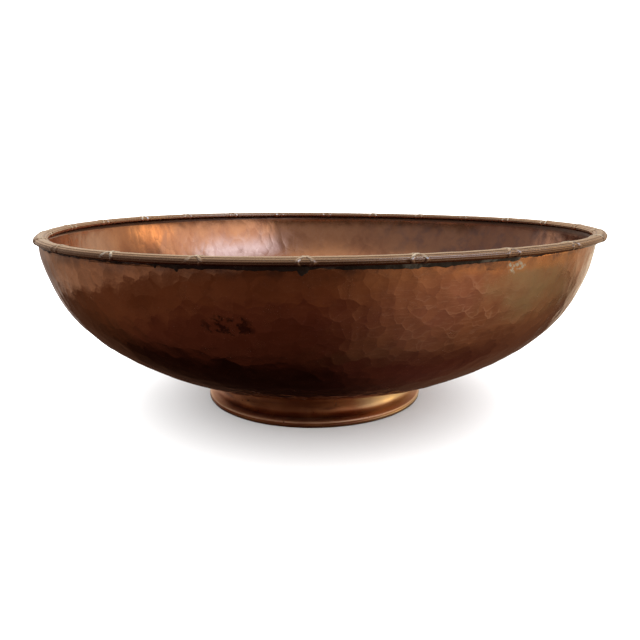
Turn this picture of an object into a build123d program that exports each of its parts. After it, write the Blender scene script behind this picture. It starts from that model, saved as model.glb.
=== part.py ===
from build123d import *
import os
from math import cos, radians, sin

# A raised and planished copper bowl on a spreading foot. Its edge is stiffened by a reed-and-ribbon
# border: a flattened round bundle of reeds, bound at even steps by pairs of crossed ribbons.
# Millimetres. The origin is the centre of the foot's resting plane, +Z is up, and +Z is the axis
# that every piece is turned about. Section points are (radius, height).

# --- driving dimensions ---
RIM_DIAMETER = 380.0        # over the ribbons of the border
WALL_TOP = 120.3            # height of the bowl's cut edge, which the border sits on
SHEET = 1.5                 # gauge of the bowl's sheet
BORDER_HALF_WIDTH = 4.4     # half the border's width over its ribbons
BORDER_HALF_HEIGHT = 2.45   # half the height of the oval that its ribbons follow
BORDER_LIFT = 1.95          # from the wall's edge up to the middle of that oval
BACK_HALF_WIDTH = 2.0       # half the flat on the border's underside
REEDS = 8
REED_SUNK = 0.25            # a reed's crest, below the ribbons
VALLEY_SUNK = 0.7           # the valley between two reeds, below the ribbons
REED_SWEEP = 45.0           # degrees, how far the reeds run on below the border's widest line
TIES = 24                   # pairs of crossed ribbons round the border
TIE_PHASE = -2.2            # degrees, the first tie, from -Y towards +X
RIBBON_WIDTH = 1.6
RIBBON_STOP = 0.3           # how far above the border's back a ribbon ends
RIBBON_SLANT = 28.0         # degrees, each ribbon of a tie to the border's own section
FOOT_SHEET = 1.3            # gauge of the foot's sheet
NECK_RADIUS = 69.5          # outside of the foot's neck at its waist
WAIST_HEIGHT = 15.0         # height of that waist
NECK_FLARE = 0.9            # how much wider the neck is where it meets the bowl
ROOT_FLARE = 3.0            # how much wider it is where it turns out into the flange
ROOT_RISE = 0.9             # height of that turn above the flange's upper face
FLANGE_FALL = 0.2           # how far the flange drops by its edge
FOOT_EDGE_RADIUS = 79.5     # outside of the wire under the foot's flange
EDGE_STEP = 0.3             # how far the flange's edge stands back from the wire
WIRE_WIDTH = 4.5            # radial width of that wire
WIRE_HEIGHT = 3.0           # it is rubbed flat where the bowl rests on it
WIRE_ROUNDING = 1.1         # radius of its outer corners
SEAM_REACH = 2.4            # leg of the solder fillet under the border
FOOT_SEAM_REACH = 2.0       # leg of the solder fillet round the foot's joint
FOOT_JOINT_HEIGHT = 22.7    # height of that joint
FOOT_SEAM_START = 0.25      # the fillet's lower edge, outside the neck's waist
FOOT_SEAM_STEP = 0.5        # how much further out its upper edge starts
TRIM_HEIGHT = 30.0          # how far the foot's blank runs up before the bowl's curve trims it

# --- worked out from them ---
BORDER_RADIUS = RIM_DIAMETER / 2 - BORDER_HALF_WIDTH
BORDER_MIDDLE = WALL_TOP + BORDER_LIFT
FLANGE_TOP = WIRE_HEIGHT + FOOT_SHEET

# The outside of the wall: nearly flat under the foot, a full curve, then almost upright.
WALL_OUTSIDE = [
    (0.0, 21.0),
    (45.0, 21.4),
    (80.0, 23.6),
    (108.7, 30.2),
    (132.8, 42.1),
    (155.0, 57.8),
    (172.0, 77.2),
    (181.7, 99.0),
    (BORDER_RADIUS, WALL_TOP),
]


def turned(outline):
    """Turn a closed outline, drawn in the XZ plane, into a solid of revolution about Z."""
    return revolve(make_face(outline), Axis.Z, 360)


def section(points):
    """Section points (radius, height) as points of the XZ plane."""
    return [Vector(radius, 0, height) for radius, height in points]


def wall_curve():
    """The bowl's outside line, level where it crosses the axis and upright at the edge."""
    return Spline(section(WALL_OUTSIDE), tangents=[(1, 0, 0), (0.03, 0, 1)])


def wall_inside(outside):
    """The bowl's inside line: the outside line, one sheet gauge further in."""
    steps = 16
    points = []
    for step in range(steps + 1):
        along = outside % (step / steps)
        inward = Vector(-along.Z, 0, along.X)
        points.append(outside @ (step / steps) + inward * SHEET)
    points[0] = Vector(0, 0, points[0].Z)
    points[-1] = Vector(points[-1].X, 0, WALL_TOP)
    return Spline(points, tangents=[outside % 0, outside % 1])


def bowl_shell():
    """The bowl itself: one disc of sheet, raised over stakes and planished."""
    outside = wall_curve()
    inside = wall_inside(outside)
    edge = Line(outside @ 1, inside @ 1)
    middle = Line(inside @ 0, outside @ 0)
    return turned([outside, edge, inside, middle])


def bowl_blank():
    """Everything inside the bowl's outside line: the tool that fits other pieces to the wall."""
    outside = wall_curve()
    top = Line(outside @ 1, Vector(0, 0, WALL_TOP))
    middle = Line(Vector(0, 0, WALL_TOP), outside @ 0)
    return turned([outside, top, middle])


def border_point(sunk, reed):
    """A point of the border's section, a little below the ribbons, counted in reeds from its back."""
    angle = radians(reed / REEDS * (180 + 2 * REED_SWEEP) - REED_SWEEP)
    return Vector(
        BORDER_RADIUS + (BORDER_HALF_WIDTH - sunk) * cos(angle),
        0,
        BORDER_MIDDLE + (BORDER_HALF_HEIGHT - sunk) * sin(angle),
    )


def reeded_ring():
    """The border's bundle of reeds: a flattened round, with a flat where the wall meets it."""
    lines = []
    for reed in range(REEDS):
        start = border_point(VALLEY_SUNK, reed)
        crest = border_point(REED_SUNK, reed + 0.5)
        end = border_point(VALLEY_SUNK, reed + 1)
        lines.append(ThreePointArc(start, crest, end))
    inner_corner, outer_corner = section([
        (BORDER_RADIUS - BACK_HALF_WIDTH, WALL_TOP),
        (BORDER_RADIUS + BACK_HALF_WIDTH, WALL_TOP),
    ])
    lines.append(Polyline(border_point(VALLEY_SUNK, REEDS), inner_corner, outer_corner,
                          border_point(VALLEY_SUNK, 0)))
    return turned(lines)


def ribbon():
    """One ribbon: a slice of the oval that the ribbons follow, ending just above the border's back."""
    reach = 4 * BORDER_HALF_WIDTH
    oval = Plane.XZ * Ellipse(BORDER_HALF_WIDTH / cos(radians(RIBBON_SLANT)), BORDER_HALF_HEIGHT)
    above_back = Pos(0, 0, reach / 2 - BORDER_LIFT + RIBBON_STOP) * Box(reach, reach, reach)
    return extrude(oval, RIBBON_WIDTH / 2, both=True) & above_back


def rim_moulding():
    """The border: one strip of moulded wire, bent round and butted, ribbons and reeds in one."""
    one = ribbon()
    ribbons = []
    for tie in range(TIES):
        place = Rot(0, 0, TIE_PHASE - 90 + tie * 360 / TIES) * Pos(BORDER_RADIUS, 0, BORDER_MIDDLE)
        for slant in (-RIBBON_SLANT, RIBBON_SLANT):
            ribbons.append(place * Rot(0, 0, slant) * one)
    return reeded_ring() + ribbons


def rim_solder():
    """The fillet of solder along the outside of the seam between wall and border."""
    corners = section([
        (BORDER_RADIUS - SHEET / 2, WALL_TOP),
        (BORDER_RADIUS + SEAM_REACH, WALL_TOP),
        (BORDER_RADIUS - SHEET / 2, WALL_TOP - SEAM_REACH),
    ])
    return turned(Polyline(corners, close=True)) - bowl_blank()


def neck_line():
    """The outside of the foot's neck, from above the joint down to the turn of the flange."""
    return ThreePointArc(*section([
        (NECK_RADIUS + NECK_FLARE, TRIM_HEIGHT),
        (NECK_RADIUS, WAIST_HEIGHT),
        (NECK_RADIUS + ROOT_FLARE, FLANGE_TOP + ROOT_RISE),
    ]))


def foot_ring():
    """The foot: a hollow neck of sheet that spreads into a flange, trimmed to the bowl's curve."""
    edge_radius = FOOT_EDGE_RADIUS - EDGE_STEP
    inside_neck = NECK_RADIUS - FOOT_SHEET
    outside = neck_line()
    flange = Line(outside @ 1, Vector(edge_radius, 0, FLANGE_TOP - FLANGE_FALL))
    rim = Line(flange @ 1, Vector(edge_radius, 0, WIRE_HEIGHT))
    under = Line(rim @ 1, Vector(inside_neck + ROOT_FLARE, 0, WIRE_HEIGHT))
    inside = ThreePointArc(under @ 1, *section([
        (inside_neck, WAIST_HEIGHT),
        (inside_neck + NECK_FLARE, TRIM_HEIGHT),
    ]))
    top = Line(inside @ 1, outside @ 0)
    return turned([outside, flange, rim, under, inside, top]) - bowl_blank()


def rounded_corner(first, middle, last):
    """The arc that rounds a corner of the wire, through three section points."""
    return ThreePointArc(*section([first, middle, last]))


def foot_base_wire():
    """The wire that thickens the foot's lower edge: square to the table, rounded outside."""
    outer = FOOT_EDGE_RADIUS
    inner = outer - WIRE_WIDTH
    rounding = WIRE_ROUNDING
    cut = rounding * (1 - cos(radians(45)))
    lower = Line(*section([(inner, 0.0), (outer - rounding, 0.0)]))
    corner_low = rounded_corner((outer - rounding, 0.0), (outer - cut, cut), (outer, rounding))
    side = Line(*section([(outer, rounding), (outer, WIRE_HEIGHT - rounding)]))
    corner_high = rounded_corner(
        (outer, WIRE_HEIGHT - rounding),
        (outer - cut, WIRE_HEIGHT - cut),
        (outer - rounding, WIRE_HEIGHT),
    )
    upper = Line(corner_high @ 1, Vector(inner, 0, WIRE_HEIGHT))
    back = Line(upper @ 1, lower @ 0)
    return turned([lower, corner_low, side, corner_high, upper, back])


def neck_blank():
    """Everything inside the neck's outside line: the tool that fits the solder to the foot."""
    outside = neck_line()
    lower = Line(outside @ 1, Vector(0, 0, (outside @ 1).Z))
    middle = Line(lower @ 1, Vector(0, 0, TRIM_HEIGHT))
    top = Line(middle @ 1, outside @ 0)
    return turned([outside, lower, middle, top])


def foot_solder():
    """The fillet of solder round the outside of the joint between foot and bowl."""
    low = FOOT_JOINT_HEIGHT - FOOT_SEAM_REACH
    high = FOOT_JOINT_HEIGHT + FOOT_SEAM_REACH
    inner = NECK_RADIUS - FOOT_SHEET / 2
    outer = NECK_RADIUS + FOOT_SEAM_STEP + FOOT_SEAM_REACH
    corners = section([
        (inner, low),
        (NECK_RADIUS + FOOT_SEAM_START, low),
        (outer, FOOT_JOINT_HEIGHT),
        (outer, high),
        (inner, high),
    ])
    return turned(Polyline(corners, close=True)) - bowl_blank() - neck_blank()


PIECES = {
    "bowl_shell": bowl_shell,
    "rim_moulding": rim_moulding,
    "rim_solder": rim_solder,
    "foot_ring": foot_ring,
    "foot_base_wire": foot_base_wire,
    "foot_solder": foot_solder,
}

os.makedirs("parts", exist_ok=True)
for node, make in PIECES.items():
    export_step(make(), f"parts/{node}.step")
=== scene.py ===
import math

import bpy
import numpy as np
from mathutils import Matrix, Vector, noise
from mathutils.kdtree import KDTree


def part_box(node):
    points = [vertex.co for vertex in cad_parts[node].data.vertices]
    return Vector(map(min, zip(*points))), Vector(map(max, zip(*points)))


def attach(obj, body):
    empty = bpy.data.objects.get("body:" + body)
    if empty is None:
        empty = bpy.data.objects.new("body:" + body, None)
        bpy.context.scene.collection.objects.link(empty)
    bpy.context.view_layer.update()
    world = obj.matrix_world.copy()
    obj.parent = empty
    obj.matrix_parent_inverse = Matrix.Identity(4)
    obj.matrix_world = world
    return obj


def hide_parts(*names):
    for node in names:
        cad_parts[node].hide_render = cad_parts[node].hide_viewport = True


# A raised and planished copper bowl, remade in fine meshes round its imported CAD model.
# Lengths are metres. Angles round the bowl are radians from the front (-Y) towards +X.
# A section point is (radius, height).

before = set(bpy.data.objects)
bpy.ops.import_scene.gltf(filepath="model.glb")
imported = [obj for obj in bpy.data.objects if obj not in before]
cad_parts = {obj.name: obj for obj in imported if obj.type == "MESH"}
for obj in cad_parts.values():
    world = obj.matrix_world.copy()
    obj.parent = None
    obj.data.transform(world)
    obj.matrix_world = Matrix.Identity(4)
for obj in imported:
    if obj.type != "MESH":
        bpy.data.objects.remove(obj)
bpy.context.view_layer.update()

MM = 0.001
rng = np.random.default_rng(1907)

# --- sizes read from the CAD frame ---
SHELL_LOW, SHELL_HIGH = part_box("bowl_shell")
BORDER_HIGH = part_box("rim_moulding")[1]
WIRE_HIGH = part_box("foot_base_wire")[1]
WALL_TOP = SHELL_HIGH.z
WALL_RADIUS = SHELL_HIGH.x
BORDER_HALF_WIDTH = 4.4 * MM
BORDER_HALF_HEIGHT = 2.45 * MM
BORDER_MIDDLE = BORDER_HIGH.z - BORDER_HALF_HEIGHT
BORDER_RADIUS = WALL_RADIUS  # its centre line stands over the outside of the wall
WIRE_RADIUS = WIRE_HIGH.x
WIRE_HEIGHT = WIRE_HIGH.z

# --- the bowl's section, as in the CAD ---
SHEET = 1.5 * MM
WALL_OUTSIDE = [
    (0.0, SHELL_LOW.z),
    (0.0450, 0.0214),
    (0.0800, 0.0236),
    (0.1087, 0.0302),
    (0.1328, 0.0421),
    (0.1550, 0.0578),
    (0.1720, 0.0772),
    (0.1817, 0.0990),
    (WALL_RADIUS, WALL_TOP),
]

# --- the border and the foot ---
REEDS = 8
TIES = 24
TIE_PHASE = math.radians(-2.2)
BORDER_SHIFT = 1.7 * MM      # the border sits this far towards +X of the wall it is soldered to
FOOT_SHIFT = -3.1 * MM       # and the foot this far towards -X
NECK_RADIUS = 69.5 * MM
FOOT_THICK = 1.3 * MM
FOOT_COLUMNS = 540           # points round the foot, its wire and its solder
DRIPS = [                    # runs of solder below the border: azimuth in degrees, reach, half width
    (-52.0, 0.8, 2.0),
    (-23.5, 1.0, 0.9),
    (-20.0, 1.3, 1.0),
    (-2.0, 2.4, 2.5),
    (13.0, 0.9, 3.5),
    (30.0, 1.3, 3.6),
    (74.0, 1.2, 1.6),
]


# ---------------------------------------------------------------- lines and meshes

def turn(radius, angle, height):
    """Points round the axis as an array of x, y, z."""
    radius, angle, height = np.broadcast_arrays(radius, angle, height)
    return np.stack([radius * np.sin(angle), -radius * np.cos(angle), height], axis=-1)


def round_angles(columns):
    """Even angles once round the axis, as a row."""
    return np.linspace(0, 2 * math.pi, columns, endpoint=False)[None, :]


class Line:
    """A smooth section line through points, measured along its length."""

    STEPS = 80  # points computed between each pair

    def __init__(self, points, first, last):
        p = np.array(points, float)
        step = np.linalg.norm(np.diff(p, axis=0), axis=1)
        system = np.eye(len(p))
        right = np.zeros_like(p)
        right[0], right[-1] = first, last
        for i in range(1, len(p) - 1):
            before, after = step[i - 1], step[i]
            system[i, i - 1:i + 2] = after, 2 * (before + after), before
            right[i] = 3 * (after * (p[i] - p[i - 1]) / before + before * (p[i + 1] - p[i]) / after)
        slope = np.linalg.solve(system, right)
        dense = []
        for i, h in enumerate(step):
            t = np.linspace(0, 1, self.STEPS, endpoint=i == len(step) - 1)[:, None]
            dense.append((1 + 2 * t) * (1 - t) ** 2 * p[i] + t * t * (3 - 2 * t) * p[i + 1]
                         + t * (1 - t) ** 2 * h * slope[i] - t * t * (1 - t) * h * slope[i + 1])
        self.points = np.concatenate(dense)
        piece = np.linalg.norm(np.diff(self.points, axis=0), axis=1)
        self.lengths = np.concatenate([[0], np.cumsum(piece)])
        self.length = self.lengths[-1]

    def at(self, s):
        """Radius and height at a length along the line."""
        return (np.interp(s, self.lengths, self.points[:, 0]),
                np.interp(s, self.lengths, self.points[:, 1]))

    def normal(self, s):
        """The unit normal there, out of the bowl: its radial part and its upward part."""
        near = 0.5 * MM
        r1, z1 = self.at(np.clip(s - near, 0, self.length))
        r2, z2 = self.at(np.clip(s + near, 0, self.length))
        size = np.hypot(r2 - r1, z2 - z1)
        return (z2 - z1) / size, (r1 - r2) / size


def arc_points(start, through, end, count):
    """Points of the quadratic curve from start to end that passes by a middle point."""
    t = np.linspace(0, 1, count)[:, None]
    start, through, end = map(np.array, (start, through, end))
    pull = 2 * through - (start + end) / 2
    return ((1 - t) ** 2 * start + 2 * t * (1 - t) * pull + t * t * end).tolist()


def smooth_step(value, low, high):
    """0 below low, 1 above high and a soft slope between; falling when high is below low."""
    t = np.clip((value - low) / (high - low), 0, 1)
    return t * t * (3 - 2 * t)


def dome(off):
    """The height of a half circle of radius 1 at a distance from its middle, 0 outside it."""
    return np.sqrt(np.clip(1 - off ** 2, 0, 1))


def wobble(points, size, seed):
    """Soft noise between about -1 and 1 at each point, with features of that size."""
    shift = Vector((seed * 17.3, seed * 7.1, seed * 3.7))
    flat = points.reshape(-1, 3) / size
    values = [noise.noise(Vector(p) + shift) for p in flat]
    return np.array(values).reshape(points.shape[:-1])


def new_object(name, verts, faces, materials, face_slots=None):
    """A smooth-shaded mesh object, linked into the scene."""
    mesh = bpy.data.meshes.new(name)
    mesh.from_pydata(verts.tolist(), [], faces)
    piece = bpy.data.objects.new(name, mesh)
    bpy.context.scene.collection.objects.link(piece)
    for material in materials:
        mesh.materials.append(material)
    if face_slots is not None:
        mesh.polygons.foreach_set("material_index", face_slots)
    mesh.polygons.foreach_set("use_smooth", [True] * len(mesh.polygons))
    mesh.update()
    return piece


def ring_faces(rows, columns, closed):
    """Quads between rows of points that each go once round the axis."""
    last = rows if closed else rows - 1
    j = np.arange(columns)
    after = (j + 1) % columns
    faces = []
    for i in range(last):
        low, high = i * columns, (i + 1) % rows * columns
        faces.append(np.stack([low + j, low + after, high + after, high + j], axis=1))
    return np.concatenate(faces).tolist()


def new_ring(name, rows, materials):
    """A ring with a closed section: an object from rows of points that each go round the axis."""
    faces = ring_faces(len(rows), rows.shape[1], True)
    return new_object(name, rows.reshape(-1, 3), faces, materials)


def paint(piece, name, values):
    """A number at each vertex, for the piece's material."""
    layer = piece.data.attributes.new(name, "FLOAT", "POINT")
    layer.data.foreach_set("value", np.asarray(values, np.float32).ravel())


def build(piece, node):
    """Every piece rides on the one body and stands for its CAD node."""
    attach(piece, "root")
    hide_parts(node)
    return piece


# ---------------------------------------------------------------- hand-made irregularity

def edge_droop(angle):
    """How far the bowl's edge rises and falls from level."""
    return MM * (-0.39 * np.sin(angle) - 0.45 * np.cos(angle) + 0.96 * np.sin(2 * angle)
                 - 0.29 * np.cos(2 * angle) + 0.18 * np.cos(3 * angle))


def drooped(points):
    """Points of the wall or border, with the edge's rise and fall fading out down the wall."""
    fade_from = 0.55 * WALL_TOP
    angle = np.arctan2(points[..., 0], -points[..., 1])
    out = points.copy()
    out[..., 2] += edge_droop(angle) * smooth_step(points[..., 2], fade_from, WALL_TOP)
    return out


class Planishing:
    """Overlapping hammer marks: a shallow dish for each blow, with soft ridges where they meet."""

    DEEPER = 0.05               # some blows go up to this many millimetres deeper than others
    ALONG, ROUND = 0.7, 0.75    # how far marks stray from even rings and from even spacing
    NEAREST = 6                 # the marks that are weighed at each point
    SOFTNESS = 0.010 * MM       # how much the ridges between them are rounded

    def __init__(self, line, pitch, dish, tilt, stretch):
        self.stretch = np.array([1, 1, 1 / stretch])
        self.dish = dish
        centres = []
        for ring in range(int(line.length / pitch) + 1):
            radius = max(line.at((ring + 0.5) * pitch)[0], pitch / 2)
            count = max(3, round(2 * math.pi * radius / pitch))
            jitter = rng.uniform(-0.5, 0.5, (count, 2))
            start = rng.random()
            angle = (np.arange(count) + start + self.ROUND * jitter[:, 0]) * 2 * math.pi / count
            r, z = line.at((ring + 0.5 + self.ALONG * jitter[:, 1]) * pitch)
            centres.append(turn(r, angle, z))
        self.centres = np.concatenate(centres)
        n = len(self.centres)
        self.depth = rng.uniform(0, self.DEEPER, n) * MM
        self.tilt = rng.normal(0, tilt, (n, 3))
        self.shade = rng.random(n)
        self.tree = KDTree(n)
        for i, centre in enumerate(self.centres * self.stretch):
            self.tree.insert(centre, i)
        self.tree.balance()

    def at(self, points):
        """Height of the surface and the shade of the mark at each point."""
        flat = points.reshape(-1, 3)
        index = np.array([[hit[1] for hit in self.tree.find_n(p, self.NEAREST)]
                          for p in flat * self.stretch])
        apart = flat[:, None, :] - self.centres[index]
        square = ((apart * self.stretch) ** 2).sum(axis=-1)
        height = square * self.dish - self.depth[index] + (apart * self.tilt[index]).sum(axis=-1)
        lowest = height.min(axis=1)
        above = np.exp((lowest[:, None] - height) / self.SOFTNESS).sum(axis=1)
        soft = lowest - self.SOFTNESS * np.log(above)
        shade = self.shade[index[np.arange(len(flat)), height.argmin(axis=1)]]
        return soft.reshape(points.shape[:-1]), shade.reshape(points.shape[:-1])


# ---------------------------------------------------------------- node helpers

def put(tree, socket, value):
    """A value or a link on an input socket."""
    if isinstance(value, bpy.types.NodeSocket):
        tree.links.new(value, socket)
    else:
        socket.default_value = value


def node(tree, kind, inputs=None, **settings):
    made = tree.nodes.new("ShaderNode" + kind)
    for name, value in settings.items():
        setattr(made, name, value)
    for name, value in (inputs or {}).items():
        put(tree, made.inputs[name], value)
    return made


def maths(tree, operation, a, b=0.0):
    return node(tree, "Math", {0: a, 1: b}, operation=operation).outputs[0]


def vector_maths(tree, operation, inputs, output="Vector"):
    return node(tree, "VectorMath", inputs, operation=operation).outputs[output]


def span(tree, value, low, high, to_low=0.0, to_high=1.0, shape="SMOOTHSTEP"):
    """The value's range from low to high, softly mapped to another range."""
    return node(tree, "MapRange", {"Value": value, "From Min": low, "From Max": high,
                                   "To Min": to_low, "To Max": to_high},
                interpolation_type=shape).outputs[0]


def mix(tree, factor, a, b, blend="MIX"):
    made = node(tree, "Mix", data_type="RGBA", blend_type=blend)
    put(tree, made.inputs["Factor"], factor)
    for socket, value in ((made.inputs[6], a), (made.inputs[7], b)):
        put(tree, socket, value if isinstance(value, bpy.types.NodeSocket) else (*value, 1))
    return made.outputs[2]


def over(tree, colour, amount, strength, tone):
    """A colour with a tone laid over it by an amount times a strength."""
    return mix(tree, maths(tree, "MULTIPLY", amount, strength), colour, tone)


def grain(tree, coords, scale, detail=5.0, roughness=0.6, distortion=0.0):
    """Fractal noise from 0 to 1, with about that many features to the metre."""
    made = node(tree, "TexNoise", {"Vector": coords, "Scale": scale, "Detail": detail,
                                   "Roughness": roughness, "Distortion": distortion})
    return made.outputs["Fac"]


def attribute(tree, name):
    return node(tree, "Attribute", attribute_name=name).outputs["Fac"]


def stretched(tree, coords, x, y, z):
    return node(tree, "Mapping", {"Vector": coords, "Scale": (x, y, z)}).outputs[0]


def bump(tree, height, strength, distance):
    inputs = {"Height": height, "Strength": strength, "Distance": distance}
    return node(tree, "Bump", inputs).outputs[0]


def height_of(tree, coords):
    return node(tree, "SeparateXYZ", {0: coords}).outputs["Z"]


def bent(tree, coords, scale, reach):
    """Coordinates pushed about by soft noise, so that straight edges drawn with them curve."""
    wander = node(tree, "TexNoise", {"Vector": coords, "Scale": scale, "Detail": 2.0}).outputs["Color"]
    wander = vector_maths(tree, "SUBTRACT", {0: wander, 1: (0.5, 0.5, 0.5)})
    wander = vector_maths(tree, "SCALE", {0: wander, "Scale": reach})
    return vector_maths(tree, "ADD", {0: coords, 1: wander})


def hammered(tree, coords, scale, depth, under):
    """Crisp overlapping hammer marks over another normal.

    Gives their normal, a random value for each mark and a painted highlight: a pale crescent along the
    ridge below some of them.
    """
    bend_scale, bend_reach = 130.0, 0.005
    crescent_width, lower_half = 0.13, -0.3 / scale
    coords = bent(tree, coords, bend_scale, bend_reach)
    cells = {"Vector": coords, "Scale": scale, "Randomness": 1.0}
    marks = node(tree, "TexVoronoi", cells)
    border = node(tree, "TexVoronoi", cells, feature="DISTANCE_TO_EDGE")
    dish = maths(tree, "POWER", marks.outputs["Distance"], 2.0)
    normal = node(tree, "Bump", {"Height": dish, "Strength": 1.0, "Distance": depth,
                                 "Normal": under}).outputs[0]
    mark, chance, _ = node(tree, "SeparateColor", {"Color": marks.outputs["Color"]}).outputs
    away = vector_maths(tree, "SUBTRACT", {0: coords, 1: marks.outputs["Position"]})
    # painted highlight: the ridge on the lower side of some marks is made pale, as if it caught the light
    below = span(tree, height_of(tree, away), 0.0, lower_half)
    ridge = maths(tree, "MULTIPLY", span(tree, border.outputs["Distance"], crescent_width, 0.0), below)
    painted_crescent_glint = maths(tree, "MULTIPLY", ridge, span(tree, chance, 0.4, 0.6))
    return normal, mark, painted_crescent_glint


def patch(tree, coords, centre, reach, wander, ragged, soft=0.2):
    """A ragged-edged area round a point of the surface: 1 inside, 0 away from it."""
    away = vector_maths(tree, "SUBTRACT", {0: coords, 1: centre})
    away = vector_maths(tree, "MULTIPLY", {0: away, 1: tuple(1 / r for r in reach)})
    distance = vector_maths(tree, "LENGTH", {0: away}, "Value")
    edge = maths(tree, "MULTIPLY", maths(tree, "SUBTRACT", grain(tree, coords, wander), 0.5), ragged)
    return span(tree, maths(tree, "ADD", distance, edge), 1 + soft, 1 - soft)


def on_wall(azimuth, height):
    """The point of the wall's outside at an azimuth in degrees and a height in millimetres."""
    heights = [point[1] for point in WALL_OUTSIDE]
    radius = np.interp(height * MM, heights, [point[0] for point in WALL_OUTSIDE])
    return tuple(float(c) for c in turn(radius, math.radians(azimuth), height * MM))


def metal(name, coat=0.0, coat_roughness=0.15):
    """A new metal material: its tree, its shader and its object coordinates."""
    made = bpy.data.materials.new(name)
    made.use_nodes = True
    tree = made.node_tree
    shader = tree.nodes["Principled BSDF"]
    shader.inputs["Metallic"].default_value = 1.0
    shader.inputs["Coat Weight"].default_value = coat
    shader.inputs["Coat Roughness"].default_value = coat_roughness
    coords = node(tree, "TexCoord").outputs["Object"]
    return made, tree, shader, coords


def surface(tree, shader, colour, roughness, normal):
    """The three linked sockets of a metal's shader."""
    put(tree, shader.inputs["Base Color"], colour)
    put(tree, shader.inputs["Roughness"], roughness)
    put(tree, shader.inputs["Normal"], normal)


# ---------------------------------------------------------------- materials

def outside_copper():
    made, tree, shader, coords = metal("outside_copper", coat=0.07, coat_roughness=0.10)
    shader.inputs["Specular Tint"].default_value = (1.0, 0.86, 0.72, 1)
    cloud = grain(tree, coords, 14.0, 4.0, 0.6, 0.4)
    broad = grain(tree, stretched(tree, coords, 1, 1, 1.6), 7.0, 3.0, 0.5, 0.6)
    fine = grain(tree, coords, 120.0, 6.0, 0.7)
    speck = grain(tree, coords, 420.0, 3.0, 0.7)
    normal, mark, painted_crescent_glint = hammered(tree, coords, 155.0, 0.19 * MM, bump(tree, fine, 0.18, 0.3 * MM))
    # the copper itself, brown and plum, a little different in each mark
    colour = mix(tree, span(tree, cloud, 0.36, 0.66), (0.37, 0.135, 0.058), (0.53, 0.21, 0.095))
    colour = mix(tree, span(tree, broad, 0.50, 0.72, 0.0, 0.65), colour, (0.42, 0.155, 0.12))
    colour = mix(tree, span(tree, mark, 0.0, 1.0, 0.0, 0.26), colour, (0.66, 0.28, 0.14))
    colour = mix(tree, span(tree, fine, 0.5, 0.8, 0.0, 0.45), colour, (0.22, 0.08, 0.045))
    # scratches, and pale crescents that are painted highlights on the ridges below some marks, mostly
    # where the wall is worn
    scratch = grain(tree, stretched(tree, coords, 1, 1, 8), 150.0, 4.0, 0.65)
    scratches_and_painted_glints = maths(tree, "MAXIMUM", painted_crescent_glint, span(tree, scratch, 0.52, 0.66, 0.0, 0.8))
    worn = patch(tree, coords, on_wall(19, 88), reach=(0.058, 0.060, 0.024),
                 wander=40.0, ragged=1.6, soft=0.6)
    worn = maths(tree, "ADD", maths(tree, "MULTIPLY", worn, 0.22), 0.04)
    colour = over(tree, colour, scratches_and_painted_glints, worn, (0.86, 0.50, 0.36))
    # an olive cloud and a bright band at the right, and a dark stain left of the middle
    olive = patch(tree, coords, on_wall(37, 104), reach=(0.026, 0.040, 0.013),
                  wander=60.0, ragged=3.0, soft=0.9)
    colour = over(tree, colour, olive, 0.60, (0.38, 0.31, 0.17))
    bright = patch(tree, coords, on_wall(34, 117), reach=(0.058, 0.040, 0.0042),
                   wander=130.0, ragged=1.6, soft=0.5)
    colour = over(tree, colour, bright, 0.45, (0.80, 0.31, 0.10))
    stain = patch(tree, coords, on_wall(-13.6, 90.3), reach=(0.0130, 0.03, 0.0052),
                  wander=150.0, ragged=1.5)
    stain = maths(tree, "MULTIPLY", stain, span(tree, grain(tree, coords, 190.0, 4.0, 0.7), 0.44, 0.55))
    colour = over(tree, colour, stain, 0.85, (0.07, 0.02, 0.015))
    colour = mix(tree, span(tree, speck, 0.68, 0.80, 0.0, 0.7), colour, (0.10, 0.04, 0.025))
    # soot and a pale crust below the solder
    near_edge = span(tree, height_of(tree, coords), WALL_TOP - 9.0 * MM, WALL_TOP - 1.5 * MM)
    soot = maths(tree, "MULTIPLY", near_edge, span(tree, grain(tree, coords, 55.0, 5.0, 0.7), 0.42, 0.62))
    colour = over(tree, colour, soot, 0.75, (0.13, 0.07, 0.06))
    crust = patch(tree, coords, on_wall(30.3, 115.6), reach=(0.0056, 0.006, 0.0026),
                  wander=320.0, ragged=2.0)
    crust = maths(tree, "MULTIPLY", crust, span(tree, grain(tree, coords, 520.0, 3.0, 0.7), 0.47, 0.56))
    colour = over(tree, colour, crust, 0.8, (0.66, 0.64, 0.54))
    rough = maths(tree, "ADD", span(tree, fine, 0.3, 0.7, 0.11, 0.20),
                  span(tree, mark, 0, 1, -0.02, 0.05))
    dull = maths(tree, "MAXIMUM", olive, stain)
    rough = maths(tree, "ADD", rough, maths(tree, "MULTIPLY", dull, 0.18))
    rough = maths(tree, "ADD", rough, maths(tree, "MULTIPLY", attribute(tree, "shade"), 0.04))
    surface(tree, shader, colour, rough, normal)
    return made


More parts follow.
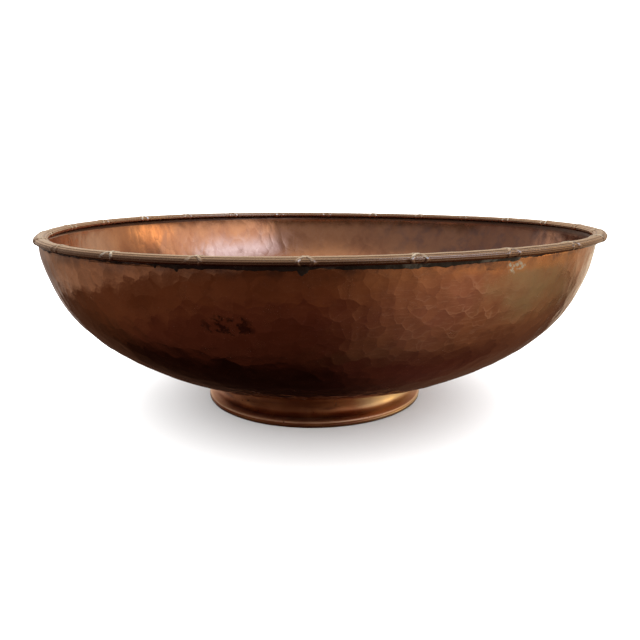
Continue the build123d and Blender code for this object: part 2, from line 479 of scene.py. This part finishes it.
def inside_copper():
    made, tree, shader, coords = metal("inside_copper", coat=0.04, coat_roughness=0.15)
    across, _, height = node(tree, "SeparateXYZ", {0: coords}).outputs
    cloud = grain(tree, coords, 18.0, 4.0, 0.6, 0.5)
    fine = grain(tree, stretched(tree, coords, 1, 1, 0.4), 130.0, 6.0, 0.7)
    normal, mark, _ = hammered(tree, stretched(tree, coords, 1, 1, 0.55), 125.0, 0.15 * MM,
                               bump(tree, fine, 0.18, 0.3 * MM))
    colour = mix(tree, span(tree, cloud, 0.35, 0.65), (0.48, 0.20, 0.105), (0.66, 0.30, 0.15))
    colour = mix(tree, span(tree, mark, 0.0, 1.0, 0.0, 0.3), colour, (0.74, 0.36, 0.19))
    colour = mix(tree, span(tree, fine, 0.5, 0.8, 0.0, 0.4), colour, (0.28, 0.11, 0.06))
    # darker and mottled at the back right, partly tarnish and partly painted shade for a dark reflection;
    # paler at the left end, a painted reflection
    dull = patch(tree, coords, (0.15, 0.10, WALL_TOP), reach=(0.10, 0.17, 0.05),
                 wander=22.0, ragged=0.8, soft=0.6)
    blotch = span(tree, grain(tree, coords, 75.0, 4.0, 0.65), 0.42, 0.66, 0.35, 0.8)
    colour = over(tree, colour, dull, blotch, (0.30, 0.17, 0.14))
    # painted reflection: the left end of the inside is made pale, as if it mirrored a bright room
    painted_reflection_left = patch(tree, coords, (-0.175, 0.010, WALL_TOP), reach=(0.036, 0.046, 0.045),
                 wander=30.0, ragged=0.8, soft=0.6)
    colour = over(tree, colour, painted_reflection_left, 0.55, (0.95, 0.66, 0.48))
    # painted shadow: a dark line close under the border, broader at the right
    line = span(tree, height, WALL_TOP - 2.2 * MM, WALL_TOP - 0.9 * MM)
    painted_shadow_band = span(tree, height, WALL_TOP - 5.0 * MM, WALL_TOP - 1.5 * MM)
    painted_shadow_band = maths(tree, "MULTIPLY", painted_shadow_band, span(tree, across, -0.10, 0.02))
    painted_shadow_under_border = maths(tree, "MAXIMUM", line, painted_shadow_band)
    colour = over(tree, colour, painted_shadow_under_border, 0.85, (0.10, 0.055, 0.035))
    rough = maths(tree, "ADD", span(tree, fine, 0.3, 0.7, 0.16, 0.26),
                  maths(tree, "MULTIPLY", painted_shadow_under_border, 0.4))
    surface(tree, shader, colour, rough, normal)
    return made


def border_copper():
    made, tree, shader, coords = metal("border_copper")
    shader.inputs["Specular Tint"].default_value = (1.0, 0.90, 0.80, 1)
    crest, worn, top, low = (attribute(tree, name) for name in ("crest", "worn", "top", "low"))
    fine = grain(tree, coords, 220.0, 6.0, 0.7)
    cloud = grain(tree, coords, 40.0, 4.0, 0.6)
    # dark between the reeds, pale on the ribbons, a painted highlight along the top and painted shade in
    # brown on the lower outer side
    colour = mix(tree, span(tree, crest, 0.1, 0.9), (0.15, 0.07, 0.036), (0.58, 0.37, 0.23))
    colour = mix(tree, span(tree, cloud, 0.45, 0.75, 0.0, 0.5), colour, (0.40, 0.20, 0.12))
    # painted highlight: the topmost line of the border is made pale, as if it mirrored the bright room
    # above
    colour = over(tree, colour, top, 0.6, (0.84, 0.66, 0.48))
    colour = mix(tree, span(tree, worn, 0.3, 0.8, 0.0, 0.7), colour, (0.74, 0.56, 0.42))
    # painted glints: whitish patches on the ribbons, at random and along the top
    glint_spots = maths(tree, "MAXIMUM", span(tree, cloud, 0.47, 0.56), maths(tree, "MULTIPLY", top, 0.6))
    painted_glint = maths(tree, "MULTIPLY", span(tree, worn, 0.2, 0.7), glint_spots)
    colour = mix(tree, painted_glint, colour, (1.0, 0.90, 0.74))
    # painted shade: the lower outer side of the border is darkened, most at the front
    colour = over(tree, colour, low, 0.8, (0.24, 0.12, 0.07))
    rough = maths(tree, "SUBTRACT", span(tree, fine, 0.3, 0.7, 0.22, 0.36),
                  maths(tree, "MULTIPLY", painted_glint, 0.12))
    surface(tree, shader, colour, rough, bump(tree, fine, 0.2, 0.3 * MM))
    return made


def foot_copper():
    made, tree, shader, coords = metal("foot_copper", coat=0.1)
    shader.inputs["Metallic"].default_value = 0.97
    cloud = grain(tree, coords, 30.0, 4.0, 0.6, 0.5)
    fine = grain(tree, coords, 200.0, 6.0, 0.7)
    turning = grain(tree, stretched(tree, coords, 1, 1, 9), 34.0, 4.0, 0.6)
    colour = mix(tree, span(tree, cloud, 0.35, 0.65), (0.34, 0.105, 0.034), (0.50, 0.19, 0.068))
    colour = mix(tree, span(tree, turning, 0.46, 0.66, 0.0, 0.75), colour, (0.20, 0.065, 0.025))
    # painted shade in front, a painted highlight at the right
    painted_shade_front = patch(tree, coords, (-0.010, -0.070, 0.016), reach=(0.052, 0.030, 0.010),
                   wander=45.0, ragged=0.8, soft=0.7)
    colour = over(tree, colour, painted_shade_front, 0.7, (0.15, 0.040, 0.014))
    # painted highlight: the right side of the neck is made bright orange
    painted_highlight_right = patch(tree, coords, (0.056, -0.046, 0.010), reach=(0.024, 0.040, 0.016),
                     wander=45.0, ragged=0.8, soft=0.7)
    colour = over(tree, colour, painted_highlight_right, 0.9, (1.0, 0.66, 0.32))
    colour = mix(tree, span(tree, fine, 0.55, 0.8, 0.0, 0.4), colour, (0.26, 0.10, 0.05))
    # a painted highlight along the flange's edge, and painted shade on the wire under it
    height = height_of(tree, coords)
    edge = maths(tree, "MULTIPLY", span(tree, height, 5.2 * MM, 4.3 * MM),
                 span(tree, height, 2.6 * MM, 3.4 * MM))
    colour = over(tree, colour, edge, 0.9, (1.0, 0.62, 0.38))
    # painted shade: the lowest millimetres of the foot are darkened
    colour = mix(tree, span(tree, height, 2.8 * MM, 1.4 * MM, 0.0, 0.85), colour, (0.08, 0.03, 0.015))
    rough = span(tree, fine, 0.3, 0.7, 0.27, 0.38)
    surface(tree, shader, colour, rough, bump(tree, fine, 0.15, 0.3 * MM))
    return made


def old_solder():
    made, tree, shader, coords = metal("old_solder")
    fine = grain(tree, coords, 300.0, 6.0, 0.7)
    cloud = grain(tree, coords, 90.0, 4.0, 0.6)
    colour = mix(tree, span(tree, cloud, 0.52, 0.68), (0.080, 0.068, 0.062), (0.29, 0.28, 0.265))
    rough = span(tree, fine, 0.3, 0.7, 0.25, 0.45)
    surface(tree, shader, colour, rough, bump(tree, fine, 0.4, 0.4 * MM))
    return made


# ---------------------------------------------------------------- the bowl

def make_bowl():
    """The shell: outer face from the middle to the edge, then the inner face back to the middle."""
    columns = 540
    hidden_rows, outer_rows, inner_rows = 12, 88, 84
    under_foot = 66 * MM     # the outer face has fewer rows as far as this
    hole = 2 * MM            # the first row, round the middle point
    even_edge = 4 * MM       # the marks fade out over this length at the edge
    line = Line(WALL_OUTSIDE, (1, 0), (0.03, 1))
    angle = round_angles(columns)
    marks = Planishing(line, pitch=11.0 * MM, dish=1 / 0.30, tilt=0.012, stretch=1.0)
    inner_marks = Planishing(line, pitch=12.0 * MM, dish=1 / 0.9, tilt=0.008, stretch=2.0)

    def face(lengths, inward, planishing, strength):
        """Rows of points of the face that lies inward of the line, with its marks and dents."""
        s = lengths[:, None]
        r, z = line.at(s)
        out_r, out_z = line.normal(s)
        flat = turn(r - inward * out_r, angle, z - inward * out_z)
        normal = turn(out_r, angle, out_z)
        height, shade = planishing.at(flat)
        height = (height - height.mean()) * strength
        height = height + 0.28 * MM * wobble(flat, 55 * MM, 1) + 0.10 * MM * wobble(flat, 22 * MM, 2)
        height = height * smooth_step(line.length - s, 0, even_edge)
        return drooped(flat + normal * height[..., None]), shade

    outer_s = np.concatenate([np.linspace(hole, under_foot, hidden_rows, endpoint=False),
                              np.linspace(under_foot, line.length, outer_rows)])
    inner_s = np.linspace(line.length, hole, inner_rows)
    outer, outer_shade = face(outer_s, 0, marks, 1.0)
    inner, inner_shade = face(inner_s, SHEET, inner_marks, -1.0)
    rows = np.concatenate([outer, inner])
    verts = rows.reshape(-1, 3)
    poles = np.array([[0, 0, outer[0, :, 2].mean()], [0, 0, inner[-1, :, 2].mean()]])
    faces = ring_faces(len(rows), columns, False)
    below, above = len(verts), len(verts) + 1
    top = (len(rows) - 1) * columns
    for j in range(columns):
        after = (j + 1) % columns
        faces.append([below, after, j])
        faces.append([above, top + j, top + after])
    slots = [0] * (len(outer) * columns) + [1] * ((len(inner) - 1) * columns) + [0, 1] * columns
    piece = new_object("bowl", np.concatenate([verts, poles]), faces,
                       [outside_copper(), inside_copper()], slots)
    shade = np.concatenate([outer_shade, inner_shade]).ravel()
    paint(piece, "shade", np.append(shade, [0.5, 0.5]))
    return build(piece, "bowl_shell")


def make_border():
    """The reed-and-ribbon border: a flattened round bundle of reeds under pairs of crossed ribbons."""
    # columns: closer together within a few millimetres of a tie
    near_tie, near_columns, far_columns = 4.6, 28, 24
    tie_step = 2 * math.pi / TIES
    close = np.linspace(-near_tie, near_tie, near_columns) * MM / BORDER_RADIUS
    between = np.linspace(close[-1], tie_step + close[0], far_columns)[1:-1]
    one = np.concatenate([close, between])
    angle = (TIE_PHASE + np.arange(TIES)[:, None] * tie_step + one[None, :]).ravel()[None, :]
    off_tie = np.tile(np.where(one > tie_step / 2, one - tie_step, one), TIES)[None, :] * BORDER_RADIUS

    # reeds: how far each point of the section is sunk below the bundle's oval
    valley_sunk, crest_sunk = 0.62 * MM, 0.25 * MM
    sweep = math.radians(45)                # the section goes this far past level on each side
    reed_rows = 7
    reed_count = np.linspace(0, REEDS, reed_rows * REEDS + 1)[:, None]
    around = reed_count / REEDS * (math.pi + 2 * sweep) - sweep
    swell = dome(reed_count % 1.0 * 2 - 1)
    sunk = valley_sunk - (valley_sunk - crest_sunk) * swell + 0 * angle

    # ribbons: the first of each pair stands a little higher where they cross
    slant = math.tan(math.radians(38))
    ribbon_half, ribbon_edge = 1.0 * MM, 0.26 * MM
    groove_reach, groove_depth = 1.4, 0.08 * MM
    ribbon = np.zeros_like(sunk)
    for side, rise in ((1, 0.36 * MM), (-1, 0.26 * MM)):
        off = np.abs(off_tie - side * slant * BORDER_HALF_WIDTH * np.cos(around)) / ribbon_half
        strap = np.where(off < 1, ribbon_edge - rise * dome(off), np.inf)
        groove = np.where(off < groove_reach, groove_depth, 0)
        sunk = np.minimum(sunk + groove, strap)
        ribbon = np.maximum(ribbon, dome(off))

    # the surface, and the flat underside that sits on the wall
    under_half, under_rows = 2.0, 4
    centre = turn(BORDER_RADIUS, angle, WALL_TOP)
    sunk = sunk - 0.10 * MM * wobble(centre, 9 * MM, 5) - 0.05 * MM * wobble(centre, 3 * MM, 6)
    radius = BORDER_RADIUS + (BORDER_HALF_WIDTH - sunk) * np.cos(around)
    height = BORDER_MIDDLE + (BORDER_HALF_HEIGHT - sunk) * np.sin(around)
    under_off = np.linspace(-under_half, under_half, under_rows)[:, None] * MM
    under_radius = BORDER_RADIUS + under_off + 0 * angle
    under_height = WALL_TOP + 0 * under_radius
    rows = turn(np.concatenate([radius, under_radius]), angle, np.concatenate([height, under_height]))
    rows = drooped(rows)
    rows[..., 0] += BORDER_SHIFT
    piece = new_ring("border", rows, [border_copper()])

    # where the reeds' crests and the worn ribbons are, where painted shade darkens the lower outer side,
    # most at the front, and where a painted highlight runs along the top; the rows underneath have the
    # last value
    front_shade = 0.4 + 0.6 * smooth_step(np.cos(angle), 0.2, 0.8)
    low = smooth_step(-np.sin(around), -0.55, -0.15) * smooth_step(np.cos(around), -0.3, 0.3) * front_shade
    # painted highlight: the topmost line of the section
    top = smooth_step(np.sin(around), 0.93, 0.99) + 0 * angle
    crest = np.maximum(swell ** 0.8 + 0 * angle, ribbon)
    for name, values, under in (("crest", crest, 0), ("worn", ribbon, 0),
                                ("low", low, 1), ("top", top, 0)):
        paint(piece, name, np.concatenate([values, 0 * under_radius + under]))
    return build(piece, "rim_moulding")


def make_seam():
    """The solder under the border: a fillet with a wandering lower edge, thick and thin."""
    columns = 1800
    section_points = 9       # on the front of the fillet, and again on its back
    least_leg, most_leg = 0.3 * MM, 4.5 * MM
    behind = 0.6 * MM        # the fillet's back lies this far inside the wall's face
    lean = 0.06              # and its lower edge follows the wall in by this much of its length
    angle = round_angles(columns)
    centre = turn(WALL_RADIUS, angle, WALL_TOP)
    degrees = np.degrees(angle + math.pi) % 360 - 180
    # the solder is heaviest in front, and how far it reaches down the wall wanders
    heavy = smooth_step(degrees, -40, -5) * smooth_step(-degrees, -40, -16)
    leg = MM * (0.9 + 1.5 * heavy + (0.5 + 0.7 * heavy) * wobble(centre, 16 * MM, 8)
                + 0.5 * wobble(centre, 4 * MM, 9) + 0.3 * wobble(centre, 1.5 * MM, 12))
    leg = np.clip(leg, least_leg, most_leg)
    for azimuth, reach, half_width in DRIPS:
        off = np.radians(degrees - azimuth) * WALL_RADIUS / (half_width * MM)
        leg = leg + reach * MM * dome(off)
    thick = MM * (0.9 + 0.5 * wobble(centre, 7 * MM, 10))
    u = np.linspace(0, 1, section_points)[:, None]
    skin = thick * (1 - u) ** 1.5 + 0.25 * MM * dome(u ** 2)
    front_r = WALL_RADIUS - 0.15 * MM - lean * u * leg + skin
    front_z = WALL_TOP - u * leg
    back_r = WALL_RADIUS - behind - lean * u[::-1] * leg
    back_z = WALL_TOP - u[::-1] * leg
    rows = turn(np.concatenate([front_r, back_r]), angle, np.concatenate([front_z, back_z]))
    rows = rows + 0.12 * MM * wobble(rows, 2.5 * MM, 11)[..., None] * turn(1, angle, 0)
    piece = new_ring("seam", drooped(rows), [old_solder()])
    return build(piece, "rim_solder")


def section_rows(corners, shift, ripple):
    """A closed section of (radius, height) corners, turned with a little unevenness."""
    angle = round_angles(FOOT_COLUMNS)
    section = np.array(corners)
    rows = turn(section[:, :1], angle, section[:, 1:])
    uneven = ripple * wobble(rows, 18 * MM, 14) + 0.4 * ripple * wobble(rows, 6 * MM, 15)
    rows = rows + uneven[..., None] * turn(1, angle, 0)
    rows[..., 0] += shift
    return rows


def make_foot():
    """The foot's neck, and the flange that it turns out into."""
    cove_points, lip_points, inner_points = 34, 4, 12
    top = 22.9 * MM
    flange = WIRE_HEIGHT + FOOT_THICK
    underside = WIRE_HEIGHT + 0.05 * MM
    root = NECK_RADIUS + 2.6 * MM
    edge = WIRE_RADIUS - 0.3 * MM
    neck_top = NECK_RADIUS + 0.9 * MM
    cove = Line([
        (neck_top, top),
        (NECK_RADIUS + 0.1 * MM, 15.5 * MM),
        (root - 1.5 * MM, flange + 4.4 * MM),
        (root + 0.5 * MM, flange + 1.5 * MM),
        (root + 2.6 * MM, flange + 0.6 * MM),
        (edge - 0.4 * MM, flange),
    ], (-0.15, -1), (1, -0.3))
    outer = np.stack(cove.at(np.linspace(0, cove.length, cove_points)), axis=1).tolist()
    outer += arc_points((edge - 0.2 * MM, flange - 0.1 * MM), (edge, flange - 0.5 * MM),
                        (edge - 0.1 * MM, underside), lip_points)
    inner = arc_points((root - 0.8 * MM, underside), (NECK_RADIUS - FOOT_THICK, 13 * MM),
                       (neck_top - FOOT_THICK, top), inner_points)
    rows = section_rows(outer + inner, FOOT_SHIFT, 0.16 * MM)
    piece = new_ring("foot", rows, [foot_copper()])
    return build(piece, "foot_ring")


def make_foot_wire():
    """The wire under the flange's edge, with its outer corners rounded."""
    inner_radius = WIRE_RADIUS - 4.5 * MM
    flat_from = inner_radius + 1.5 * MM
    corner = 1.2 * MM
    quarter_steps = 4
    section = [(inner_radius, 0), (flat_from, 0)]
    for start, middle in ((-1, corner), (0, WIRE_HEIGHT - corner)):
        for step in range(quarter_steps + 1):
            a = (start + step / quarter_steps) * math.pi / 2
            section.append((WIRE_RADIUS - corner + corner * math.cos(a), middle + corner * math.sin(a)))
    section += [(flat_from, WIRE_HEIGHT), (inner_radius, WIRE_HEIGHT)]
    rows = section_rows(section, FOOT_SHIFT, 0.08 * MM)
    piece = new_ring("foot_wire", rows, bpy.data.objects["foot"].data.materials)
    return build(piece, "foot_base_wire")


def make_foot_seam():
    """The solder between foot and bowl: an uneven flattened roll."""
    section_points = 12
    angle = round_angles(FOOT_COLUMNS)
    joint = 22.6 * MM
    wide, high = 0.9, 0.6    # the roll's half width and half height, as parts of its size
    size = MM * (1.5 + 0.5 * wobble(turn(NECK_RADIUS, angle, joint), 8 * MM, 20))
    turns = round_angles(section_points).T
    radius = NECK_RADIUS + 0.9 * MM + size * np.cos(turns) * wide
    height = joint - 0.6 * MM + size * np.sin(turns) * high
    rows = turn(radius, angle, height)
    rows[..., 0] += FOOT_SHIFT
    piece = new_ring("foot_seam", rows, bpy.data.objects["seam"].data.materials)
    return build(piece, "foot_solder")


# ---------------------------------------------------------------- studio

def make_floor():
    """A plain pale floor, which the copper doesn't mirror."""
    half = 12.0
    verts = np.array([(-half, -half, 0), (half, -half, 0), (half, half, 0), (-half, half, 0)])
    made = bpy.data.materials.new("floor")
    made.use_nodes = True
    shader = made.node_tree.nodes["Principled BSDF"]
    shader.inputs["Base Color"].default_value = (0.86, 0.86, 0.86, 1)
    shader.inputs["Roughness"].default_value = 0.9
    shader.inputs["Specular IOR Level"].default_value = 0.1
    floor = new_object("floor", verts, [(0, 1, 2, 3)], [made])
    floor.visible_glossy = False


def make_world():
    """Plain white light for the floor, and for the copper to mirror a studio with a dark table.

    Azimuths are degrees from the front to +X, elevations degrees above the horizon.
    """
    white_strength = 3.2
    deep = -40               # a table seen from more steeply than this has the deep tint
    world = bpy.data.worlds.new("studio")
    bpy.context.scene.world = world
    world.use_nodes = True
    world.cycles.sampling_method = "NONE"
    tree = world.node_tree
    tree.nodes.clear()
    direction = node(tree, "TexCoord").outputs["Generated"]
    x, y, z = node(tree, "SeparateXYZ", {0: direction}).outputs
    azimuths = maths(tree, "ARCTAN2", x, maths(tree, "MULTIPLY", y, -1.0))
    turned = maths(tree, "MULTIPLY", azimuths, 180 / math.pi)
    raised = maths(tree, "MULTIPLY", maths(tree, "ARCSINE", z), 180 / math.pi)
    # where a ray meets the table top, in heights above it
    fall = maths(tree, "MAXIMUM", maths(tree, "MULTIPLY", z, -1.0), 0.01)
    sideways = maths(tree, "DIVIDE", x, fall)
    back = maths(tree, "DIVIDE", y, fall)

    def panel(azimuth, half_width, elevation, half_height, soft):
        """How much of a soft-edged panel lies in each direction."""
        off = node(tree, "Math", {0: maths(tree, "SUBTRACT", turned, azimuth), 1: 180.0, 2: -180.0},
                   operation="WRAP").outputs[0]
        across = span(tree, maths(tree, "ABSOLUTE", off), half_width + soft, half_width - soft)
        rise = maths(tree, "ABSOLUTE", maths(tree, "SUBTRACT", raised, elevation))
        along = span(tree, rise, half_height + soft, half_height - soft)
        return maths(tree, "MULTIPLY", across, along)

    def by_elevation(tint, deep_tint, stops):
        """A colour by elevation, between stops of (elevation, brightness)."""
        ramp = node(tree, "ValToRGB", {"Fac": span(tree, raised, -90, 90, shape="LINEAR")})
        elements = ramp.color_ramp.elements
        for i, (elevation, light) in enumerate(stops):
            element = elements[i] if i < 2 else elements.new(1.0)
            element.position = (elevation + 90) / 180
            element.color = (*(light * part for part in (deep_tint if elevation < deep else tint)), 1)
        return ramp.outputs["Color"]

    # the table top: dim and brown, lit from the right, and dark behind the bowl
    shaded = by_elevation((1, 0.62, 0.45), (1, 0.50, 0.46), [
        (-90, 0.03), (-75, 0.055), (-60, 0.07), (-45, 0.085), (-35, 0.14), (-24, 0.12), (-15, 0.085)])
    lit = by_elevation((1, 0.88, 0.68), (1, 0.82, 0.62), [
        (-90, 0.05), (-75, 0.09), (-60, 0.19), (-45, 0.33), (-33, 0.48), (-15, 0.70)])
    colour = mix(tree, panel(72, 36, -40, 90, 34), shaded, lit)
    colour = over(tree, colour, panel(-156, 40, -55, 29, 16), 0.91, (0.004, 0.002, 0.002))
    # the room beyond the table's edges and above the horizon
    edge_left = span(tree, sideways, -2.35, -2.55)
    edge_right = span(tree, sideways, 3.5, 3.9)
    skew = maths(tree, "MULTIPLY", maths(tree, "MAXIMUM", sideways, 0.0), 0.3)
    edge_back = span(tree, maths(tree, "ADD", back, skew), 2.75, 2.95)
    beyond = maths(tree, "MAXIMUM", maths(tree, "MAXIMUM", edge_left, edge_right), edge_back)
    beyond = maths(tree, "MAXIMUM", beyond, span(tree, raised, -4, 4))
    room = (0.27, 0.26, 0.27)
    panels = [
        # azimuth, half width, elevation, half height, softness, light
        (180, 44, 20, 48, 10, (0.78, 0.76, 0.72)),
        (-108, 42, -16, 12, 6, (0.36, 0.345, 0.34)),
        (116, 42, -4, 24, 8, (0.59, 0.52, 0.43)),
        (0, 70, 62, 18, 12, (0.66, 0.64, 0.61)),
        (-30, 62, 4, 9, 6, (0.075, 0.06, 0.045)),
        (62, 34, 22, 12, 6, (1.08, 1.06, 1.05)),
        (52, 24, 36, 8, 7, (1.55, 2.50, 4.60)),
        (96, 6, 12, 5, 4, (3.00, 2.50, 1.50)),
        (151, 20, -11, 10, 3, (0.82, 0.79, 0.66)),
    ]
    for azimuth, half_width, elevation, half_height, soft, light in panels:
        room = mix(tree, panel(azimuth, half_width, elevation, half_height, soft), room, light)
    # things standing about, below the horizon
    clutter = span(tree, grain(tree, direction, 9.0, 3.0, 0.6), 0.38, 0.62)
    clutter = mix(tree, clutter, (0.62, 0.60, 0.60), (1.25, 1.25, 1.25))
    room = mix(tree, span(tree, raised, 4, -4), room, clutter, "MULTIPLY")
    colour = mix(tree, beyond, colour, room)
    mirrored = node(tree, "Background", {"Color": colour, "Strength": 1.0})
    plain = node(tree, "Background", {"Color": (1, 1, 1, 1), "Strength": white_strength})
    glossy = node(tree, "LightPath").outputs["Is Glossy Ray"]
    either = node(tree, "MixShader", {0: glossy, 1: plain.outputs[0], 2: mirrored.outputs[0]})
    node(tree, "OutputWorld", {"Surface": either.outputs[0]})


def make_camera():
    """The camera: a little above the edge, looking down into the bowl from the front."""
    place = (0, -0.4420, 0.1545)
    data = bpy.data.cameras.new("camera")
    data.sensor_width = 36.0
    data.lens = 33.86
    camera = bpy.data.objects.new("camera", data)
    bpy.context.scene.collection.objects.link(camera)
    pitch, yaw, roll = (math.radians(a) for a in (12.86, 0.17, -0.31))
    tilt = (Matrix.Rotation(-yaw, 4, "Z") @ Matrix.Rotation(math.pi / 2 - pitch, 4, "X")
            @ Matrix.Rotation(roll, 4, "Z"))
    camera.matrix_world = Matrix.Translation(place) @ tilt
    bpy.context.scene.camera = camera


make_bowl()
make_border()
make_seam()
make_foot()
make_foot_wire()
make_foot_seam()
make_floor()
make_world()
make_camera()
bpy.context.scene.view_settings.view_transform = "Standard"
